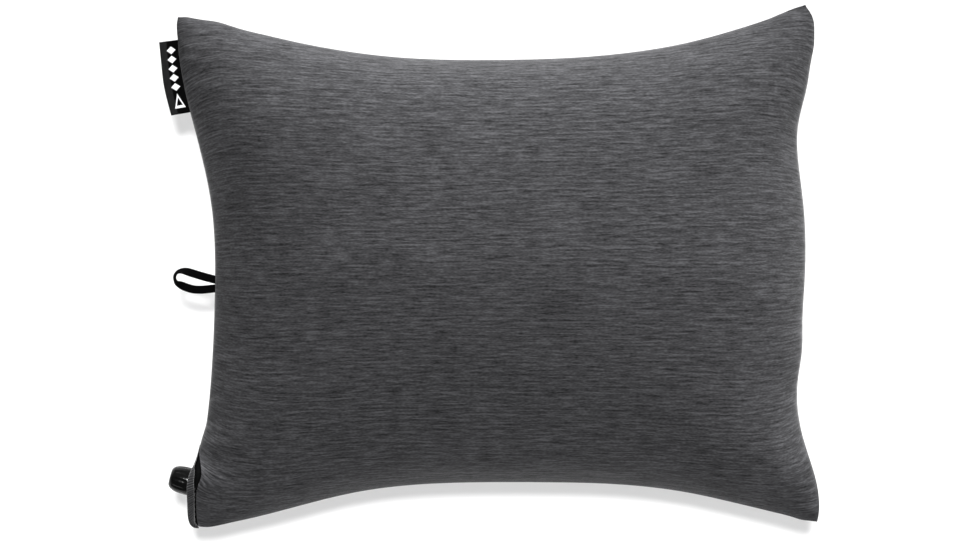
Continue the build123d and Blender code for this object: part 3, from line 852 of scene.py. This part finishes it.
def hem_knit():
    """Overlocked hem: the knit packed tight across the band, with thread-fine ribs."""
    paint = Paint("hem_knit", 0.9, Sheen_Weight=0.25, Specular_IOR_Level=0.1)
    mottle = paint.noise(paint.cloth(0.9 * MM, 2.4 * MM), 2.0)
    ribs = paint.wave(paint.cloth(RIB, RIB), "X", 0.4)
    tone = paint.math("ADD", paint.math("MULTIPLY", mottle, 0.4), paint.math("MULTIPLY", ribs, 0.6))
    paint.colour(paint.ramp(tone, [(0.25, grey(0.011, KNIT_COOL)), (0.75, grey(0.033, KNIT_COOL))]))
    paint.bump(tone, 0.00012)
    return paint.material


def webbing(name, colour, across, along, spread=(0.5, 1.6)):
    """Woven tape or label: fine picks across and ribs along."""
    paint = Paint(name, 0.85, Specular_IOR_Level=0.03)
    worn = weave(paint, across, along)
    low, high = (grey(colour * share, WOVEN_COOL) for share in spread)
    paint.colour(paint.ramp(worn, [(0.2, low), (0.8, high)]))
    return paint.material


def weave(paint, across, along):
    """Shared woven relief; returns the tone that goes with it."""
    picks = paint.wave(paint.cloth(across, across), "X", 0.3)
    warp = paint.wave(paint.cloth(along, along), "Y", 0.3)
    tone = paint.math("ADD", paint.math("MULTIPLY", picks, 0.5), paint.math("MULTIPLY", warp, 0.5))
    paint.bump(tone, 0.00009)
    spots = paint.noise(paint.solid(0.004))
    return paint.math("ADD", paint.math("MULTIPLY", tone, 0.7), paint.math("MULTIPLY", spots, 0.3))


def label_weave():
    """Black woven label whose border along the fold is a little lighter."""
    paint = Paint("label", 0.85, Specular_IOR_Level=0.03)
    worn = weave(paint, 0.34 * MM, 0.42 * MM)
    from_seam = paint.node("ShaderNodeSeparateXYZ", Vector=paint.cloth(MM, MM)).outputs[1]
    border = paint.math("GREATER_THAN", from_seam, LABEL_BORDER / MM)
    share = paint.math("MULTIPLY", worn, paint.math("ADD", paint.math("MULTIPLY", border, 0.85), 0.15))
    tones = ((0.03, 0.0008), (0.12, 0.0026), (0.8, 0.022))
    stops = [(place, grey(tone, WOVEN_COOL)) for place, tone in tones]
    paint.colour(paint.ramp(share, stops))
    return paint.material


def thread():
    """Twisted polyester sewing thread."""
    paint = Paint("thread", 0.6, Specular_IOR_Level=0.2)
    twist = paint.wave(paint.solid(0.00045), "DIAGONAL", 0.2)
    paint.colour(paint.ramp(twist, [(0.2, grey(0.010)), (0.8, grey(0.035))]))
    paint.bump(twist, 0.00008)
    return paint.material


def foam():
    """Open-cell foam."""
    paint = Paint("foam", 0.95)
    cells = paint.node("ShaderNodeTexVoronoi", Vector=paint.solid(0.0011), Scale=1.0).outputs[0]
    tone = paint.math("ADD", paint.math("MULTIPLY", cells, 0.6),
                      paint.math("MULTIPLY", paint.noise(paint.solid(0.02)), 0.4))
    paint.colour(paint.ramp(tone, [(0.1, (0.36, 0.34, 0.29)), (0.6, (0.66, 0.64, 0.57))]))
    paint.bump(cells, 0.0006)
    return paint.material


def film():
    """Coated air film with a fine ripstop grid."""
    paint = Paint("film", 0.38, Coat_Weight=0.2, Coat_Roughness=0.3)
    grid = paint.math("MAXIMUM", paint.math("POWER", paint.wave(paint.solid(0.005), "X"), 12.0),
                      paint.math("POWER", paint.wave(paint.solid(0.005), "Y"), 12.0))
    tone = paint.math("ADD", paint.math("MULTIPLY", grid, 0.5),
                      paint.math("MULTIPLY", paint.noise(paint.solid(0.01)), 0.5))
    paint.colour(paint.ramp(tone, [(0.1, (0.16, 0.18, 0.20)), (0.9, (0.40, 0.43, 0.46))]))
    paint.bump(grid, 0.0001)
    return paint.material


def moulded(name, colour, roughness, grain, bump, **sockets):
    """Moulded plastic or rubber with a fine grain and slight handling marks."""
    paint = Paint(name, roughness, **sockets)
    tone = paint.noise(paint.solid(grain), 3.0)
    paint.colour(paint.ramp(tone, [(0.3, grey(colour * 0.8)), (0.7, grey(colour * 1.25))]))
    marks = paint.noise(paint.solid(grain * 6), 4.0, 0.6)
    worn = [(0.35, grey(roughness * 0.8)), (0.75, grey(min(1, roughness * 1.35)))]
    paint.put(paint.shader, "Roughness", paint.ramp(marks, worn))
    paint.bump(tone, bump)
    return paint.material


def give(thing, material):
    """One material on a piece or a CAD node."""
    thing.data.materials.clear()
    thing.data.materials.append(material)
    return thing


# ---- build --------------------------------------------------------------------------------------
KNIT = knit("cover_knit", 0.016, 0.043, 0.083)
BACK_KNIT = knit("cover_back_knit", 0.015, 0.041, 0.079)
THREAD = thread()
FILM = film()
VALVE_PLASTIC = moulded("valve_plastic", 0.03, 0.5, 0.0008, 0.00003)
SEAL = moulded("seal", 0.014, 0.65, 0.0006, 0.00004)
GLOSS = moulded("mouthpiece_gloss", 0.004, 0.2, 0.002, 0.00001, Specular_IOR_Level=0.16)
# near-black sheet in the opening: a real dark lining, with painted shade of the deep slot in its colour
LINING_AND_SHADE = webbing("opening_lining_and_painted_shade", 0.0022, 0.5 * MM, 0.6 * MM)
RING_PLASTIC = moulded("ring_plastic", 0.5, 0.45, 0.001, 0.00003)
TAPE = webbing("webbing", 0.0016, 0.7 * MM, 0.9 * MM)
LABEL = label_weave()
MARK = webbing("label_mark_thread", 0.88, 0.34 * MM, 0.42 * MM, (0.85, 1.08))


def squash_all(things):
    """Give each soft piece its own copy of its mesh."""
    for thing in things:
        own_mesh(thing)


def build_cover():
    """Both knit panels, in place of the plain CAD ones."""
    top = give(cover_panel("cover_top_knit", CROWN_Z - SEAM_Z, 11), KNIT)
    back = give(cover_panel("cover_back_knit", -BACK_DROP, 23), BACK_KNIT)
    for thing, body, node, slot in ((top, "crown", "cover_top_panel", "cover_knit"),
                                    (back, "base", "cover_bottom_panel", "cover_back_knit")):
        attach(thing, body)
        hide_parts(node)
    squash_all([top])
    squash_all([back])


def build_rim():
    """Hems, loop, label and mouthpiece at the seam."""
    material = hem_knit()
    for place, side in (("upper", 1), ("lower", -1)):
        lip = give(hem(f"opening_hem_{place}_knit", side), material)
        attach(lip, "rim")
        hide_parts(f"opening_hem_{place}")
        # the opening's dark inside: real lining plus painted shade of the slot
        lining = give(opening_lining_and_painted_shade(f"opening_lining_and_painted_shade_{place}", side), LINING_AND_SHADE)
        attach(lining, "rim")
    stitches = give(hem_stitches(), THREAD)
    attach(stitches, "rim")
    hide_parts("hem_stitching")
    tape = give(hang_loop(), TAPE)
    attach(tape, "loop")
    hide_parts("hang_loop")
    label = give(side_label(), LABEL)
    mark = give(label_mark(), MARK)
    for thing in (label, mark):
        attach(thing, "label")
    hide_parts("side_label")
    shell = give(mouthpiece(), GLOSS)
    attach(shell, "mouth")
    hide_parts("mouthpiece")


def paint_inside():
    """Materials of the CAD pieces that stay, and own mesh copies for the soft ones among them."""
    looks = {"foam_topper": foam(), "bladder_top_film": FILM, "bladder_bottom_film": FILM,
             "baffle_front": FILM, "baffle_rear": FILM, "seam_thread": THREAD, "loop_bartack": THREAD,
             "label_stitching": THREAD, "valve_base": VALVE_PLASTIC, "valve_pintle": VALVE_PLASTIC,
             "pintle_o_ring": SEAL, "stem_o_ring": SEAL, "stop_ring": RING_PLASTIC}
    for node, material in looks.items():
        give(NODES[node], material)
    squash_all([NODES[n] for n in ("foam_topper", "bladder_top_film")])
    squash_all([NODES[n] for n in ("bladder_bottom_film", "baffle_front", "baffle_rear")])
    squash_all([NODES[n] for n in ("seam_thread", "loop_bartack", "label_stitching")])


# ---- floor, light and camera --------------------------------------------------------------------
VIEW_WIDTH = 0.6455  # width of the view at the seam's height
CAMERA_RISE = 2.6
CAMERA_AT = (-0.0003, -0.0056)
FLOOR_REACH = 3
STUDIO_GLOW = 0.08


def sun(name, turn, rise, strength, soft, shadow=True, glints=True):
    """Distant lamp. Its turn about +Z from +X, its rise over the floor and its softness are in degrees."""
    data = bpy.data.lights.new(name, "SUN")
    data.energy = strength
    data.angle = math.radians(soft)
    data.use_shadow = shadow
    lamp = bpy.data.objects.new(name, data)
    level = math.cos(math.radians(rise))
    place = Vector((level * math.cos(math.radians(turn)), level * math.sin(math.radians(turn)),
                    math.sin(math.radians(rise))))
    lamp.location = place
    lamp.visible_glossy = glints
    lamp.rotation_euler = place.to_track_quat("Z", "Y").to_euler()
    bpy.context.scene.collection.objects.link(lamp)


def stage():
    """Pale floor, soft light from the far side, and a camera straight above."""
    mesh = bpy.data.meshes.new("floor")
    corners = [(sx * FLOOR_REACH, sy * FLOOR_REACH, 0) for sx, sy in ((-1, -1), (1, -1), (1, 1), (-1, 1))]
    mesh.from_pydata(corners, [], [(0, 1, 2, 3)])
    floor = bpy.data.objects.new("floor", mesh)
    bpy.context.scene.collection.objects.link(floor)
    paint = Paint("floor_white", 0.9)
    paint.colour(paint.ramp(paint.noise(paint.solid(0.3)), [(0.3, grey(0.90)), (0.7, grey(0.93))]))
    give(floor, paint.material)
    sun("rake_from_behind", 76, 8, 8.4, 12, shadow=False, glints=False)
    sun("fill_from_right", 35, 16, 1.3, 30, shadow=False, glints=False)
    sun("fill_from_front", 255, 38, 0.9, 30, shadow=False, glints=False)
    sun("overhead", 88, 76, 2.3, 9)
    world = bpy.data.worlds.new("studio")
    world.use_nodes = True
    world.node_tree.nodes["Background"].inputs[0].default_value = (1, 1, 1, 1)
    world.node_tree.nodes["Background"].inputs[1].default_value = STUDIO_GLOW
    bpy.context.scene.world = world
    camera = bpy.data.cameras.new("camera")
    camera.lens = camera.sensor_width * CAMERA_RISE / VIEW_WIDTH
    camera.clip_end = 20
    thing = bpy.data.objects.new("camera", camera)
    thing.location = (*CAMERA_AT, SEAM_Z + CAMERA_RISE)
    bpy.context.scene.collection.objects.link(thing)
    bpy.context.scene.camera = thing
    bpy.context.scene.view_settings.view_transform = "Standard"


build_cover()
build_rim()
paint_inside()
stage()
